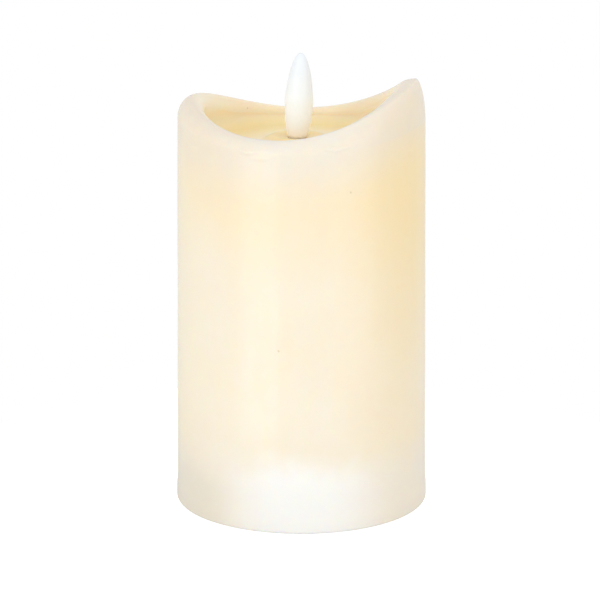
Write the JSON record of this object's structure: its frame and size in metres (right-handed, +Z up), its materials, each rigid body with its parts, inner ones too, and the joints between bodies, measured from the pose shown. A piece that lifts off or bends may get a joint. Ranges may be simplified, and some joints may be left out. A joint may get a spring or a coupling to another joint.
{
  "type": "flameless led candle",
  "caption": "Flameless wax pillar candle with a wavy rim, a dished top and a moulded white flame, on a battery base with a hinged door and a slide switch.",
  "frame": {"origin": "middle of the foot, on the surface that the candle stands on", "axes": "+Z up along the pillar, +X to the right along the battery cells, +Y to the back, towards the switch"},
  "size_m": [0.0762, 0.0762, 0.1367],
  "materials": {
    "wax": "translucent ivory paraffin wax, satin",
    "flame_plastic": "frosted white translucent moulding",
    "led_epoxy": "clear, warm tinted epoxy",
    "tinned_wire": "tinned",
    "heat_shrink": "matt black",
    "white_moulding": "satin white, lightly textured",
    "natural_tube": "natural white extrusion",
    "wire_red": "soft insulation",
    "wire_black": "soft insulation",
    "cell_steel": "nickel-plated steel",
    "cell_jacket": "plain dark jacket",
    "contact_steel": "nickel-plated spring steel",
    "board": "green solder mask",
    "chip": "black moulding",
    "capacitor_can": "bare can",
    "resistor": "thick film on ceramic",
    "switch_steel": "tin-plated sheet",
    "switch_board": "brown phenolic",
    "knob_plastic": "matt black",
    "screw_steel": "zinc plated",
    "hot_melt": "translucent hot-melt glue"
  },
  "bodies": {
    "candle": {"wax_shell": "wax", "flame_diffuser": "flame_plastic", "flame_led": "led_epoxy", "led_leads": "tinned_wire", "heat_shrink_sleeves": "heat_shrink", "flame_holder": "white_moulding", "support_tube": "natural_tube", "led_wire_positive": "wire_red", "led_wire_negative": "wire_black", "upper_cover": "white_moulding", "base_housing": "white_moulding", "battery_can_a": "cell_steel", "battery_jacket_a": "cell_jacket", "battery_can_b": "cell_steel", "battery_jacket_b": "cell_jacket", "bridge_contact": "contact_steel", "bridge_spring": "contact_steel", "positive_contact": "contact_steel", "negative_contact": "contact_steel", "negative_spring": "contact_steel", "battery_wire_positive": "wire_red", "battery_wire_negative": "wire_black", "circuit_board": "board", "controller_chip": "chip", "capacitor": "capacitor_can", "resistors": "resistor", "switch_shell": "switch_steel", "switch_base": "switch_board", "switch_terminals": "tinned_wire", "housing_screws": "screw_steel", "board_screws": "screw_steel", "glue_beads": "hot_melt"},
    "battery_door": {"battery_door": "white_moulding"},
    "switch_knob": {"switch_knob": "knob_plastic"}
  },
  "joints": [
    {"name": "door_hinge", "type": "hinge", "parent": "candle", "child": "battery_door", "pos_m": [-0.0274, -0.0012, 0.0021], "axis": [0, 1, 0], "range_deg": [0, 85]},
    {"name": "switch_slide", "type": "slide", "parent": "candle", "child": "switch_knob", "axis": [1, 0, 0], "range_m": [-0.002, 0.002]}
  ]
}
